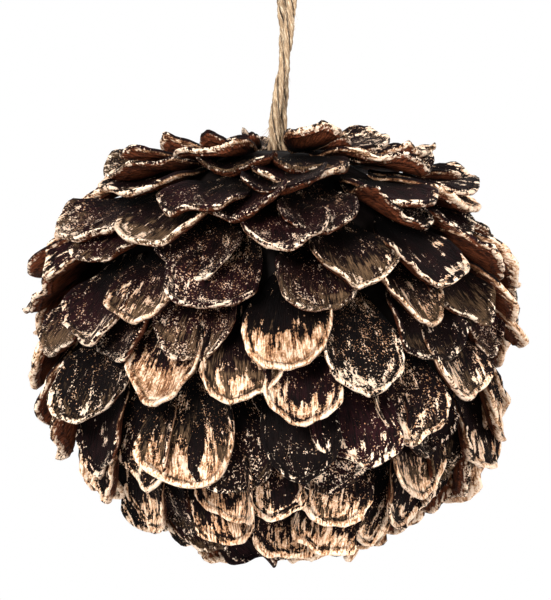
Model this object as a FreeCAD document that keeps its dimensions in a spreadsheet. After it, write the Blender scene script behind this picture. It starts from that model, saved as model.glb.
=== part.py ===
import FreeCAD, Part
import math
import os

import Sketcher

# Pine cone ornament: a foam ball clad in rows of overlapping cone scales, hung on a doubled twine.
# Millimetres, +Z up. The origin is the hanging point, on the underside of the top of the twine's loop.
# The front faces -Y.

SIZES = {
    "hang_height": 75.0,
    "core_diameter": 100.0,
    "core_bands": 20,
    "core_gores": 36,
    "bore_room": 2.6,
    "bore_depth": 24.0,
    "plug_clearance": 0.1,
    "plug_recess": 0.5,
    "twine_diameter": 3.0,
    "twine_sides": 12,
    "twine_foot_rise": 9.5,
    "scale_length": 31.0,
    "scale_width": 21.5,
    "scale_thickness": 1.8,
    "scale_flat_width": 8.6,
    "dish_depth": 2.9,
    "root_width": 8.0,
    "widest_at": 20.0,
    "side_gap": 0.8,
    "seat_clearance": 0.05,
    "lift_unevenness": 1.2,
    "roll_unevenness": 2.0,
    "crown_seat_angle": 7.7,
    "crown_lift": 38.0,
    "crown_front_drop": 14.0,
    "crown_length": 14.0,
    "crown_width": 12.6,
    "crown_root_width": 5.0,
    "first_seat_angle": 13.2,
    "first_lift": 26.0,
    "first_front_drop": 9.0,
    "first_length": 21.0,
    "second_seat_angle": 21.2,
    "second_lift": 18.5,
    "second_front_drop": 3.5,
    "second_length": 25.5,
    "third_seat_angle": 29.6,
    "third_lift": 15.5,
    "third_front_drop": 1.0,
    "third_length": 29.0,
    "full_seat_angle": 38.0,
    "full_lift": 12.4,
    "last_seat_angle": 137.7,
    "row_count": 10,
    "bottom_row_count": 3,
    "bottom_length": 26.0,
    "bottom_width": 18.5,
    "closing_tip_angle": 176.5,
    "closing_length": 25.0,
    "closing_width": 15.5,
}

# Angles, in degrees, at which the round tip of a scale is given its corners.
TIP_CORNERS = (32, 62, 82)
# The kinds of scale, each with the sizes that give its greatest width and its root's width.
SCALE_KINDS = (
    ("crown", "crown_width", "crown_root_width"),
    ("first", "scale_width", "root_width"),
    ("second", "scale_width", "root_width"),
    ("third", "scale_width", "root_width"),
    ("scale", "scale_width", "root_width"),
    ("bottom", "bottom_width", "root_width"),
    ("closing", "closing_width", "root_width"),
)
# The rows above the full ones, each of its own kind, the crown's small scales first.
TOP_ROWS = ("crown", "first", "second", "third")
# The most of a scale's width that its flat middle takes.
FLAT_SHARE = 0.4
# Radians by which a scale's lift and roll run on from one scale to the next, and from one row to the next.
LIFT_WAVE = (2.4, 1.7)
ROLL_WAVE = (1.9, 2.6)

# The doubled twine, from the plug up its front leg, round the loop and down its back leg, as it runs
# where the ball hangs at ROUTE_HEIGHT on a twine as thick as ROUTE_DIAMETER.
# Both ends stand upright on the plug, so the heights of their first runs are worked out from it.
ROUTE_HEIGHT = 75.0
ROUTE_DIAMETER = 3.0
FRONT_FOOT = (-0.4, -1.4)
BACK_FOOT = (1.7, 1.4)
TWINE_ROUTE = (
    (2.2, -1.75, -53.5),
    (3.9, -1.5, -41.0),
    (4.5, -1.3, -31.5),
    (7.9, -0.8, -23.2),
    (12.0, -0.4, -14.6),
    (12.2, -0.1, -5.2),
    (5.7, 0.1, 1.5),
    (-3.7, 0.2, 1.55),
    (-10.1, 0.2, -5.2),
    (-9.5, 0.4, -14.4),
    (-4.6, 0.9, -22.6),
    (1.3, 1.25, -30.8),
    (2.5, 1.6, -41.0),
    (2.5, 1.75, -53.5),
)
# The share of the shorter run that an arc takes on each side of its corner.
ARC_SHARE = 0.45

doc = FreeCAD.newDocument("pine_cone_ornament")


def make_sheet():
    """Writes every driving size into the sheet under its own alias."""
    sheet = doc.addObject("Spreadsheet::Sheet", "sizes")
    for line, (alias, value) in enumerate(SIZES.items(), start=1):
        sheet.set(f"A{line}", alias)
        sheet.set(f"B{line}", str(value))
        sheet.setAlias(f"B{line}", alias)
    doc.recompute()
    return sheet


sizes = make_sheet()


def size(alias):
    """A driving size, as the sheet holds it."""
    return float(sizes.get(alias))


def drop():
    """How far the ball's centre lies below the hanging point."""
    return size("hang_height") + size("core_diameter") / 2


def new_body(label):
    """An empty body with the label that names its file."""
    body = doc.addObject("PartDesign::Body", label)
    body.Label = label
    return body


def new_sketch(body, role, label):
    """A sketch on one of the body's own origin planes."""
    sketch = body.newObject("Sketcher::SketchObject", label)
    plane = next(p for p in body.Origin.OriginFeatures if p.Role == role)
    sketch.AttachmentSupport = [(plane, "")]
    sketch.MapMode = "FlatFace"
    return sketch


def bound_polygon(sketch, corners):
    """Draws a closed polygon whose corners are pairs of expressions in the sheet's sizes."""
    first = sketch.GeometryCount
    count = len(corners)
    values = [[sketch.evalExpression(text) for text in corner] for corner in corners]
    points = [FreeCAD.Vector(float(across), float(up), 0) for across, up in values]
    for index in range(count):
        sketch.addGeometry(Part.LineSegment(points[index], points[(index + 1) % count]), False)
    for index in range(count):
        following = first + (index + 1) % count
        sketch.addConstraint(Sketcher.Constraint("Coincident", first + index, 2, following, 1))
    for index, corner in enumerate(corners):
        for kind, text, value in zip(("DistanceX", "DistanceY"), corner, values[index]):
            place = sketch.addConstraint(Sketcher.Constraint(kind, -1, 1, first + index, 1, float(value)))
            sketch.setExpression(f"Constraints[{place}]", text)


def ring_of_points(radius, height, count):
    """Evenly spaced points of a level ring, starting at the front."""
    turns = [2 * math.pi * index / count for index in range(count)]
    return [FreeCAD.Vector(radius * math.sin(turn), -radius * math.cos(turn), height) for turn in turns]


def faceted_ball(radius, bands, gores):
    """A ball of flat facets with every corner on the sphere: bands from pole to pole, gores round it."""
    angles = [math.pi * (band + 0.5) / bands for band in range(bands)]
    rings = [ring_of_points(radius * math.sin(angle), radius * math.cos(angle), gores) for angle in angles]
    faces = [Part.Face(Part.makePolygon(ring + ring[:1])) for ring in (rings[0], rings[-1])]
    for upper, lower in zip(rings, rings[1:]):
        for index in range(gores):
            after = (index + 1) % gores
            corners = [upper[index], upper[after], lower[after], lower[index], upper[index]]
            faces.append(Part.Face(Part.makePolygon(corners)))
    shell = Part.Shell(faces)
    shell.sewShape()
    return Part.Solid(shell)


def make_foam_ball():
    """The foam ball, bored from the top for the twine. Its facets are flat, because the scales hide it."""
    ball = doc.addObject("Part::Feature", "ball_blank")
    ball.Shape = faceted_ball(size("core_diameter") / 2, int(size("core_bands")), int(size("core_gores")))
    ball.Placement.Base.z = -drop()
    bore = doc.addObject("Part::Cylinder", "twine_bore")
    bore.setExpression("Radius", "sizes.twine_diameter + sizes.bore_room / 2")
    bore.setExpression("Height", "sizes.bore_depth * 2")
    bore.setExpression("Placement.Base.z", "-sizes.hang_height - sizes.bore_depth")
    bored = doc.addObject("Part::Cut", "foam_ball")
    bored.Base = ball
    bored.Tool = bore
    bored.Label = "foam_ball"
    return bored


def add_bound_circle(sketch, diameter):
    """Draws a circle round the sketch's origin, its diameter bound to an expression."""
    value = float(sketch.evalExpression(diameter))
    circle = sketch.addGeometry(Part.Circle(FreeCAD.Vector(), FreeCAD.Vector(0, 0, 1), value / 2), False)
    sketch.addConstraint(Sketcher.Constraint("Coincident", circle, 3, -1, 1))
    place = sketch.addConstraint(Sketcher.Constraint("Diameter", circle, value))
    sketch.setExpression(f"Constraints[{place}]", diameter)


def make_glue_plug():
    """The plug of set glue that fills the bore and holds both feet of the twine."""
    body = new_body("glue_plug")
    body.Placement = FreeCAD.Placement(FreeCAD.Vector(0, 0, -drop()), FreeCAD.Rotation())
    foot = new_sketch(body, "XY_Plane", "plug_foot")
    foot.setExpression("AttachmentOffset.Base.z", "sizes.core_diameter / 2 - sizes.bore_depth")
    add_bound_circle(foot, "2 * (sizes.twine_diameter - sizes.plug_clearance) + sizes.bore_room")
    doc.recompute()
    plug = body.newObject("PartDesign::Pad", "plug")
    plug.Profile = foot
    plug.setExpression("Length", "sizes.bore_depth - sizes.plug_recess")
    return body


def make_scale_blank(label, length, width, root_width):
    """One scale, lying along +Y from its root, outer face up: a folded strip trimmed to its outline."""
    body = new_body(label)
    half = f"{width} / 2"
    flat = f"min(sizes.scale_flat_width; {width} * {FLAT_SHARE}) / 2"
    rise = f"sizes.dish_depth * {width} / sizes.scale_width"
    thickness = "sizes.scale_thickness"
    section = new_sketch(body, "XZ_Plane", f"{label}_section")
    right = [(flat, "0"), (half, rise), (half, f"{rise} + {thickness}"), (flat, thickness)]
    left = [(f"-({across})", up) for across, up in reversed(right)]
    bound_polygon(section, right + left)
    strip = body.newObject("PartDesign::Pad", f"{label}_strip")
    strip.Profile = section
    strip.setExpression("Length", length)
    strip.Reversed = True
    doc.recompute()
    outline = new_sketch(body, "XY_Plane", f"{label}_outline")
    widest = f"sizes.widest_at * {length} / sizes.scale_length"
    side = [(f"{root_width} / 2", "0"), (half, widest)]
    side += [
        (f"{half} * cos({angle})", f"{widest} + ({length} - {widest}) * sin({angle})")
        for angle in TIP_CORNERS[:-1]
    ]
    side += [(f"{half} * cos({TIP_CORNERS[-1]})", length)]
    mirrored = [(f"-({across})", up) for across, up in reversed(side)]
    bound_polygon(outline, side + mirrored)
    margin = "sizes.scale_thickness"
    low = f"-({margin})"
    high = f"{length} + {margin}"
    reach = f"{half} + {margin}"
    bound_polygon(outline, [(reach, low), (reach, high), (f"-({reach})", high), (f"-({reach})", low)])
    trim = body.newObject("PartDesign::Pocket", f"{label}_trim")
    trim.Profile = outline
    trim.Type = "ThroughAll"
    trim.Midplane = True
    body.Tip = trim
    return body


def reach_of(length, lift):
    """The polar angle from a scale's seat to its tip."""
    core = size("core_diameter") / 2
    rise = math.radians(lift)
    return math.degrees(math.atan2(length * math.cos(rise), core + length * math.sin(rise)))


def scale_placement(seat_angle, lift, azimuth, roll=0.0):
    """Where a scale goes: its root on the ball at a polar angle, its length down the ball and lifted."""
    radius = size("core_diameter") / 2 + size("seat_clearance")
    outward = FreeCAD.Vector(math.sin(math.radians(azimuth)), -math.cos(math.radians(azimuth)), 0)
    up = FreeCAD.Vector(0, 0, 1)
    polar = math.radians(seat_angle)
    seat = (outward * math.sin(polar) + up * math.cos(polar)) * radius - up * drop()
    tilt = math.radians(seat_angle - lift)
    along = outward * math.cos(tilt) - up * math.sin(tilt)
    normal = outward * math.sin(tilt) + up * math.cos(tilt)
    turn = FreeCAD.Rotation(along.cross(normal), along, normal, "YZX")
    return FreeCAD.Placement(seat, turn.multiply(FreeCAD.Rotation(FreeCAD.Vector(0, 1, 0), roll)))


def fitting_count(blank, seat_angle, lift):
    """How many scales fit side by side in a row: the fewest that any corner of their outline allows."""
    counts = []
    for corner in blank.Shape.Vertexes:
        if corner.X > 0:
            place = scale_placement(seat_angle, lift, 0).multVec(FreeCAD.Vector(0, corner.Y, corner.Z))
            half = corner.X + size("side_gap") / 2
            counts.append(int(math.pi / math.atan2(half, math.hypot(place.x, place.y))))
    return min(counts)


def make_row(label, blank, seat_angle, lift, number, front_drop=0.0):
    """One row of scales round the ball, each a solid of its own, none set quite like the next.

    The top rows lie lower towards the front, so each scale's lift loses its share of the front drop.
    """
    count = fitting_count(blank, seat_angle, lift)
    scales = []
    for index in range(count):
        azimuth = 360 * (index + (number + 1) % 2 / 2) / count
        dropped_lift = lift - front_drop * (1 + math.cos(math.radians(azimuth))) / 2
        lift_change = size("lift_unevenness") * math.sin(LIFT_WAVE[0] * index + LIFT_WAVE[1] * number)
        roll = size("roll_unevenness") * math.sin(ROLL_WAVE[0] * index + ROLL_WAVE[1] * number)
        scale = blank.Shape.copy()
        scale.Placement = scale_placement(seat_angle, dropped_lift + lift_change, azimuth, roll)
        scales.append(scale)
    row = doc.addObject("Part::Feature", label)
    row.Label = label
    row.Shape = Part.makeCompound(scales)
    print(label, "scales", count, "seat", round(seat_angle, 1), "lift", round(lift, 1))
    return row


def twine_points():
    """The twine's route, stretched to the hanging height, with both feet upright on the glue plug's top."""
    spread = size("twine_diameter") / ROUTE_DIAMETER
    stretch = size("hang_height") / ROUTE_HEIGHT
    loop_top = ROUTE_DIAMETER / 2
    foot = -size("hang_height") - size("plug_recess")
    knee = foot + size("twine_foot_rise")
    front, back = [(across, depth * spread) for across, depth in (FRONT_FOOT, BACK_FOOT)]
    points = [(*front, foot), (*front, knee)]
    for across, depth, height in TWINE_ROUTE:
        points.append((across, depth * spread, (height - loop_top) * stretch + loop_top * spread))
    points += [(*back, knee), (*back, foot)]
    return [FreeCAD.Vector(*point) for point in points]


def rounded_path(points):
    """Straight runs joined by tangent arcs, each as large as its two runs allow."""
    edges = []
    radii = []
    last = points[0]
    for before, corner, after in zip(points, points[1:], points[2:]):
        back = before - corner
        ahead = after - corner
        cut = ARC_SHARE * min(back.Length, ahead.Length)
        half_turn = (math.pi - back.getAngle(ahead)) / 2
        radii.append(cut / math.tan(half_turn))
        back.normalize()
        ahead.normalize()
        start = corner + back * cut
        end = corner + ahead * cut
        bisector = (back + ahead).normalize()
        middle = corner + bisector * (radii[-1] / math.cos(half_turn) - radii[-1])
        edges.append(Part.LineSegment(last, start).toShape())
        edges.append(Part.Arc(start, middle, end).toShape())
        last = end
    edges.append(Part.LineSegment(last, points[-1]).toShape())
    return Part.Wire(edges), radii


def make_hanging_twine():
    """The doubled twine as one plain many-sided tube along its route."""
    points = twine_points()
    path, radii = rounded_path(points)
    ring = ring_of_points(size("twine_diameter") / 2, 0, int(size("twine_sides")))
    section = Part.Face(Part.makePolygon(ring + ring[:1]))
    section.translate(points[0])
    twine = doc.addObject("Part::Feature", "hanging_twine")
    twine.Shape = path.makePipe(section)
    ratio = twine.Shape.Volume / (section.Area * path.Length)
    print("twine length", round(path.Length, 1), "volume over section times length", round(ratio, 4))
    print("twine radii", [round(value, 1) for value in radii])
    return twine


def make_scales():
    """The crown of small scales round the twine, every row below it, and those that close the bottom."""
    blanks = {
        name: make_scale_blank(f"{name}_blank", f"sizes.{name}_length", f"sizes.{width}", f"sizes.{root}")
        for name, width, root in SCALE_KINDS
    }
    doc.recompute()

    rows = []
    for name in TOP_ROWS:
        label = f"scale_row_{len(rows):02d}" if rows else "crown_scales"
        seat_angle = size(f"{name}_seat_angle")
        drop_size = size(f"{name}_front_drop")
        rows.append(make_row(label, blanks[name], seat_angle, size(f"{name}_lift"), len(rows), drop_size))

    lift = size("full_lift")
    last = int(size("row_count")) - 1
    pitch = (size("last_seat_angle") - size("full_seat_angle")) / last
    for step in range(last + 1):
        blank = blanks["bottom" if step > last - int(size("bottom_row_count")) else "scale"]
        label = f"scale_row_{len(rows):02d}"
        seat_angle = size("full_seat_angle") + step * pitch
        rows.append(make_row(label, blank, seat_angle, lift, len(rows)))
    closing_seat = size("closing_tip_angle") - reach_of(size("closing_length"), lift)
    rows.append(make_row("closing_scales", blanks["closing"], closing_seat, lift, len(rows)))
    return rows


def check_and_write(parts):
    """Writes each piece to its own file once every object of the document is sound."""
    doc.recompute()
    for item in doc.Objects:
        bad = [state for state in item.State if state in ("Invalid", "Error")]
        if bad:
            raise RuntimeError(f"{item.Label} is {bad}")
    os.makedirs("parts", exist_ok=True)
    for part in parts:
        shape = part.Shape
        if shape.isNull() or not shape.isValid():
            raise RuntimeError(f"{part.Label} has no valid shape")
        shape.exportStep(f"parts/{part.Label}.step")


pieces = [make_foam_ball(), make_glue_plug(), make_hanging_twine()]
pieces += make_scales()
check_and_write(pieces)
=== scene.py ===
"""A ball of pine cone scales with gold-brushed tips, hung from a jute loop, dressed over its solids.

Lengths inside the classes are in millimetres, as in the part's sizes, and become metres when a mesh is
made. The hanging point is the origin, +Z is up and the face seen in the picture looks along -Y.
"""

from __future__ import annotations

import logging
from dataclasses import dataclass, fields
from enum import Enum

import bpy
import numpy as np
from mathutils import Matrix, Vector

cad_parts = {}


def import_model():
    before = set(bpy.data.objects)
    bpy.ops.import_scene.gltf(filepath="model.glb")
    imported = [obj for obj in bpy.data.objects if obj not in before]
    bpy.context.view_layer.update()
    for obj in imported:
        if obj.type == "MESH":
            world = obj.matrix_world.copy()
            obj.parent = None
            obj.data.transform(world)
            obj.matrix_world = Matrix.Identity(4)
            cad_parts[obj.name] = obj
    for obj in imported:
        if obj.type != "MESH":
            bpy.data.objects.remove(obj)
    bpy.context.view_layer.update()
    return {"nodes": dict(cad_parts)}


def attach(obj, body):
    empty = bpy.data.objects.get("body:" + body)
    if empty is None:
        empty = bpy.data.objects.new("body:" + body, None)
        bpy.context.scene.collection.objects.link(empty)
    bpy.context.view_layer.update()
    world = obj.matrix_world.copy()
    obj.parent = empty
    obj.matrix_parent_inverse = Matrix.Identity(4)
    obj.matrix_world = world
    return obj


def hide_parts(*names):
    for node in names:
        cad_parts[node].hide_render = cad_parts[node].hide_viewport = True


LOG = logging.getLogger("pine_cone_ornament")
MM = 0.001
# Random phases are drawn up to this many radians, about one full turn.
ANY_PHASE = 6.3

Tree = bpy.types.NodeTree
Socket = bpy.types.NodeSocket
Random = np.random.Generator


def linear(colour: str) -> tuple[float, float, float, float]:
    """Turns an sRGB hex colour into linear light.

    Args:
        colour: Six hex digits after a #.

    Returns:
        Red, green, blue and an alpha of one.
    """
    parts = [int(colour[at : at + 2], 16) / 255 for at in (1, 3, 5)]
    light = [part / 12.92 if part <= 0.04045 else ((part + 0.055) / 1.055) ** 2.4 for part in parts]
    return (light[0], light[1], light[2], 1.0)


def smooth(value: np.ndarray, low: float, high: float) -> np.ndarray:
    """The smooth step 3t²-2t³, where t is how far a value has gone from low to high.

    Args:
        value: The values.
        low: Where the step starts, at 0.
        high: Where it ends, at 1.

    Returns:
        The step at each value.
    """
    share = np.clip((value - low) / (high - low), 0.0, 1.0)
    return share * share * (3 - 2 * share)


def add_node(tree: Tree, kind: str, inputs: dict | None = None, **settings) -> bpy.types.Node:
    """Adds one node to a material.

    Args:
        tree: The node tree that takes it.
        kind: Blender's name for the node.
        inputs: Input name or number, with a plain value or the output socket that feeds it.
        settings: The node's own options.

    Returns:
        The new node.
    """
    node = tree.nodes.new(kind)
    for name, value in settings.items():
        setattr(node, name, value)
    for name, value in (inputs or {}).items():
        if isinstance(value, Socket):
            tree.links.new(value, node.inputs[name])
        else:
            node.inputs[name].default_value = value
    return node


def weigh(tree: Tree, at: dict[str, Socket], weights: dict[str, float], base: float) -> Socket:
    """The base plus each named value times its weight.

    Args:
        tree: The node tree that takes it.
        at: The values by name.
        weights: The weight of each value that counts, by name.
        base: What the weighted values are added to.

    Returns:
        The sum's socket.
    """
    total: Socket | float = base
    for name, weight in weights.items():
        inputs = {0: at[name], 1: weight, 2: total}
        total = add_node(tree, "ShaderNodeMath", inputs, operation="MULTIPLY_ADD").outputs[0]
    return total


def mask(
    tree: Tree,
    at: dict[str, Socket],
    weights: dict[str, float],
    base: float,
    span: tuple[float, float],
    most: float = 1.0,
) -> Socket:
    """Where a weighted sum has passed from one level to another, as a smooth step.

    Args:
        tree: The node tree that takes it.
        at: The values by name.
        weights: The weight of each value that counts, by name.
        base: What the weighted values are added to.
        span: The sum where the mask is zero, and the one where it reaches its most.
        most: The mask's highest value.

    Returns:
        The mask's socket.
    """
    start, end = span
    inputs = {"Value": weigh(tree, at, weights, base), "From Min": start, "From Max": end, "To Max": most}
    return add_node(tree, "ShaderNodeMapRange", inputs, interpolation_type="SMOOTHSTEP").outputs[0]


def ramp(
    tree: Tree, at: dict[str, Socket], weights: dict[str, float], base: float, stops: list[tuple[float, str]]
) -> Socket:
    """A colour that runs through hex colours as a weighted sum goes from 0 to 1.

    Args:
        tree: The node tree that takes it.
        at: The values by name.
        weights: The weight of each value that counts, by name.
        base: What the weighted values are added to.
        stops: Places and their hex colours, in rising order.

    Returns:
        The colour's socket.
    """
    node = add_node(tree, "ShaderNodeValToRGB", {"Fac": weigh(tree, at, weights, base)})
    elements = node.color_ramp.elements
    while len(elements) < len(stops):
        elements.new(1.0)
    for element, (place, colour) in zip(elements, stops):
        element.position = place
        element.color = linear(colour)
    return node.outputs["Color"]


def new_material(name: str) -> tuple[bpy.types.Material, Tree]:
    """A material with an empty node tree.

    Args:
        name: The real material's name.

    Returns:
        The material and its tree.
    """
    material = bpy.data.materials.new(name)
    material.use_nodes = True
    material.node_tree.nodes.clear()
    return material, material.node_tree


def close_material(tree: Tree, height: Socket, strength: float, depth: float, surface: dict) -> None:
    """Ends a material: the height roughens a surface, which goes to the output.

    Args:
        tree: The node tree that takes it.
        height: How high the surface stands, from 0 to 1.
        strength: How strongly the height shows.
        depth: What a height of 1 comes to, in millimetres.
        surface: The surface shader's inputs by name.
    """
    bump = add_node(tree, "ShaderNodeBump", {"Height": height, "Strength": strength, "Distance": depth * MM})
    shader = add_node(tree, "ShaderNodeBsdfPrincipled", surface | {"Normal": bump.outputs[0]})
    add_node(tree, "ShaderNodeOutputMaterial", {"Surface": shader.outputs[0]})


def mesh_object(
    name: str,
    points: np.ndarray,
    faces: list[tuple[int, ...]],
    material: bpy.types.Material,
    values: dict[str, np.ndarray] | None = None,
    rounded: bool = True,
) -> bpy.types.Object:
    """Makes a mesh object that keeps numbers or vectors at its vertices for its material.

    Args:
        name: The piece's name.
        points: Points in millimetres, with their three numbers in the array's last place.
        faces: Vertex numbers of every face.
        material: What it is dressed in.
        values: By attribute name, one number or three for each vertex.
        rounded: Whether its faces are shaded as one curved surface.

    Returns:
        The object, linked into the scene.
    """
    mesh = bpy.data.meshes.new(name)
    mesh.from_pydata((points.reshape(-1, 3) * MM).tolist(), [], faces)
    for title, numbers in (values or {}).items():
        is_vector = numbers.size == 3 * len(mesh.vertices)
        kind, field = ("FLOAT_VECTOR", "vector") if is_vector else ("FLOAT", "value")
        layer = mesh.attributes.new(title, kind, "POINT")
        layer.data.foreach_set(field, np.ascontiguousarray(numbers, dtype=np.float32).ravel())
    mesh.polygons.foreach_set("use_smooth", np.full(len(mesh.polygons), rounded))
    mesh.materials.append(material)
    mesh.update()
    piece = bpy.data.objects.new(name, mesh)
    bpy.context.scene.collection.objects.link(piece)
    return piece


@dataclass(frozen=True)
class Draws:
    """Random numbers, one for each scale or hair, shaped to go with its points."""

    chance: Random
    shape: tuple[int, ...]

    def __call__(self, low: float, high: float) -> np.ndarray:
        """Draws one number for each.

        Args:
            low: The least.
            high: The most.

        Returns:
            The numbers in the shape.
        """
        return self.chance.uniform(low, high, self.shape)


class Face(Enum):
    """Which face of a scale a point is on, as its attribute holds it."""

    OUTER = 1.0
    INNER = 0.0


@dataclass(frozen=True)
class Pattern:
    """Cloudy noise on a surface's own measure, in spots for each millimetre across and along its fibres."""

    across: float
    along: float
    detail: float
    roughness: float = 0.6

    def build(self, tree: Tree, grain: Socket) -> Socket:
        """Lays the pattern.

        Args:
            tree: The node tree that takes it.
            grain: Millimetres across and along the fibres, and a number that differs from piece to piece.

        Returns:
            A value about 0.5, mostly from 0.3 to 0.7.
        """
        stretch = (self.across, self.along, 1.0)
        place = add_node(tree, "ShaderNodeMapping", {"Vector": grain, "Scale": stretch}).outputs[0]
        inputs = {"Vector": place, "Scale": 1.0, "Detail": self.detail, "Roughness": self.roughness}
        return add_node(tree, "ShaderNodeTexNoise", inputs).outputs["Fac"]


@dataclass(frozen=True)
class GildedScaleFinish:
    """Dry pine cone scales, near black to maroon, with gold paint dragged over rims and raised fibres."""

    # Near black over the root of each scale: painted shade cast by the scale above.
    soot: str = "#020101"
    bark_black: str = "#050303"
    bark_brown: str = "#130907"
    bark_maroon: str = "#2c1114"
    inner_dark: str = "#200e09"
    inner_red: str = "#713c25"
    wash_dark: str = "#2c1f15"
    wash_light: str = "#80644a"
    gold_shadow: str = "#6c452d"
    gold_mid: str = "#cf9e75"
    gold_light: str = "#ffe4c9"
    # Fibres, about 0.3 mm apart and a few millimetres long, give the streaks that run from root to tip.
    fibre: Pattern = Pattern(3.0, 0.28, 3.0)
    # Brush marks, about 1.5 mm apart, are where the gold caught or missed.
    stroke: Pattern = Pattern(0.75, 0.10, 3.0)
    # Patches of 4 to 8 mm vary the bark's colour and the paint's cover.
    patch: Pattern = Pattern(0.17, 0.17, 3.0)
    # Grit of 0.5 mm breaks every edge of the paint into specks.
    grit: Pattern = Pattern(1.9, 1.5, 4.0)
    # Flecks of paint, 0.3 to 0.8 mm, were thrown over the bare bark.
    fleck: Pattern = Pattern(2.3, 2.0, 1.0)

    def read(self, tree: Tree) -> dict[str, Socket]:
        """Reads the scale's own attributes and lays its patterns.

        Args:
            tree: The node tree that takes them.

        Returns:
            The attributes and the patterns by name.
        """
        at = {
            name: add_node(tree, "ShaderNodeAttribute", attribute_name=name).outputs["Fac"]
            for name in ("rim", "face", "tip", "gilding", "tone", "wash", "dust")
        }
        grain = add_node(tree, "ShaderNodeAttribute", attribute_name="grain").outputs["Vector"]
        for name in ("fibre", "stroke", "patch", "grit", "fleck"):
            at[name] = getattr(self, name).build(tree, grain)
        return at

    def add_places(self, tree: Tree, at: dict[str, Socket]) -> None:
        """Adds where the lip, its edge, its crease and the tip are.

        Args:
            tree: The node tree that takes them.
            at: The values by name, which it adds to.
        """
        at["lip"] = mask(tree, at, {"rim": 1.0, "patch": -5.0}, 2.5, (2.3, 0.7))
        # The very edge, within 1.2 mm, took the most paint, and its gold is painted lighter there as a
        # painted highlight.
        at["edge"] = mask(tree, at, {"rim": 1.0}, 0.0, (1.2, 0.2))
        at["towards_tip"] = mask(tree, at, {"tip": 1.0}, 0.0, (0.3, 0.95))
        # A crease, 1.6 mm in from the edge, parts the rolled lip from the dish; the thinner gold and darker
        # colour there are painted shade.
        uneven = {"rim": 1.0, "grit": -1.5}
        at["past_lip"] = mask(tree, at, uneven, 0.75, (1.15, 1.55))
        at["before_dish"] = mask(tree, at, uneven, 0.75, (2.25, 1.75))
        for name, first, second in (
            ("lip_end", "lip", "towards_tip"),
            ("loaded", "towards_tip", "gilding"),
            ("crease", "past_lip", "before_dish"),
        ):
            both = {0: at[first], 1: at[second]}
            at[name] = add_node(tree, "ShaderNodeMath", both, operation="MULTIPLY").outputs[0]

    def add_paint(self, tree: Tree, at: dict[str, Socket]) -> None:
        """Adds where gold paint lies, brushed on or thrown, and where only a bronze wash of it does.

        Args:
            tree: The node tree that takes them.
            at: The values by name, which it adds to.
        """
        # The crease weight thins the gold there, part of the crease's painted shade.
        places = {"crease": -0.4, "edge": 0.05, "lip": 0.12, "lip_end": 0.3, "towards_tip": 0.1}
        load = {"gilding": 0.3, "loaded": 1.65}
        catch = {"stroke": 3.1, "fibre": 1.2, "grit": 1.5, "patch": 3.9}
        at["brushed"] = mask(tree, at, places | load | catch, -5.96, (0.0, 0.12))
        spots = {"fleck": 1.0, "patch": 0.6, "dust": 0.17, "towards_tip": 0.05}
        at["thrown"] = mask(tree, at, spots, -0.5, (0.60, 0.63), 0.9)
        either = {0: at["brushed"], 1: at["thrown"]}
        outer = add_node(tree, "ShaderNodeMath", either, operation="MAXIMUM").outputs[0]
        rim_only = {"rim": 1.0, "grit": -3.0, "stroke": -4.0, "gilding": -2.0}
        inner = mask(tree, at, rim_only, 4.2, (0.5, 0.0), 0.7)
        faces = {0: at["face"], 2: inner, 3: outer}
        at["gold"] = add_node(tree, "ShaderNodeMix", faces, data_type="FLOAT").outputs[0]
        thin = {"towards_tip": 0.6, "wash": 0.8, "patch": -2.0, "fibre": 1.2, "stroke": 1.0}
        outside = {0: mask(tree, at, thin, -1.16, (0.0, 0.4), 0.75), 1: at["face"]}
        at["bronzed"] = add_node(tree, "ShaderNodeMath", outside, operation="MULTIPLY").outputs[0]

    def colour(self, tree: Tree, at: dict[str, Socket]) -> Socket:
        """Lays the colours over each other: bark, the inner face, bronze wash, painted shade at the root,
        gold and painted shade in the crease.

        Args:
            tree: The node tree that takes them.
            at: The values by name, which it adds to.

        Returns:
            The surface's colour.
        """
        depth = {"fibre": 1.6, "patch": 1.2}
        # The edge weight lightens the gold at the very edge: a painted highlight.
        shine = {"fibre": 2.2, "stroke": 2.0, "grit": 1.2, "patch": 1.7, "towards_tip": 0.5, "edge": 0.25}
        gold_stops = [(0.1, self.gold_shadow), (0.5, self.gold_mid), (0.85, self.gold_light)]
        inner_stops = [(0.25, self.inner_dark), (0.8, self.inner_red)]
        bronze_stops = [(0.2, self.wash_dark), (0.8, self.wash_light)]
        at["inner"] = weigh(tree, at, {"face": -1.0}, 1.0)
        # Near the root the colour goes to near black: painted shade cast by the scale above, over bark that
        # no brush reached. It makes each scale stand clear of the one above.
        at["shaded_bare_root"] = mask(tree, at, {"tip": 1.0}, 0.0, (0.68, 0.2))
        # Painted shade in the crease: the colour is darkened there towards bark black.
        at["painted_crease_shade"] = weigh(tree, at, {"crease": 0.55}, 0.0)
        colour = ramp(tree, at, depth, -0.9, [(0.25, self.bark_black), (0.85, self.bark_brown)])
        for place, coat in (
            ("tone", ramp(tree, at, depth, -0.9, [(0.2, self.bark_black), (0.8, self.bark_maroon)])),
            ("inner", ramp(tree, at, {"fibre": 1.6, "patch": 0.8}, -0.7, inner_stops)),
            ("bronzed", ramp(tree, at, {"fibre": 2.2}, -0.6, bronze_stops)),
            ("shaded_bare_root", linear(self.soot)),
            ("gold", ramp(tree, at, shine | {"thrown": 0.4}, -3.6, gold_stops)),
            ("painted_crease_shade", linear(self.bark_black)),
        ):
            inputs = {0: at[place], 6: colour, 7: coat}
            colour = add_node(tree, "ShaderNodeMix", inputs, data_type="RGBA").outputs[2]
        return colour

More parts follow.
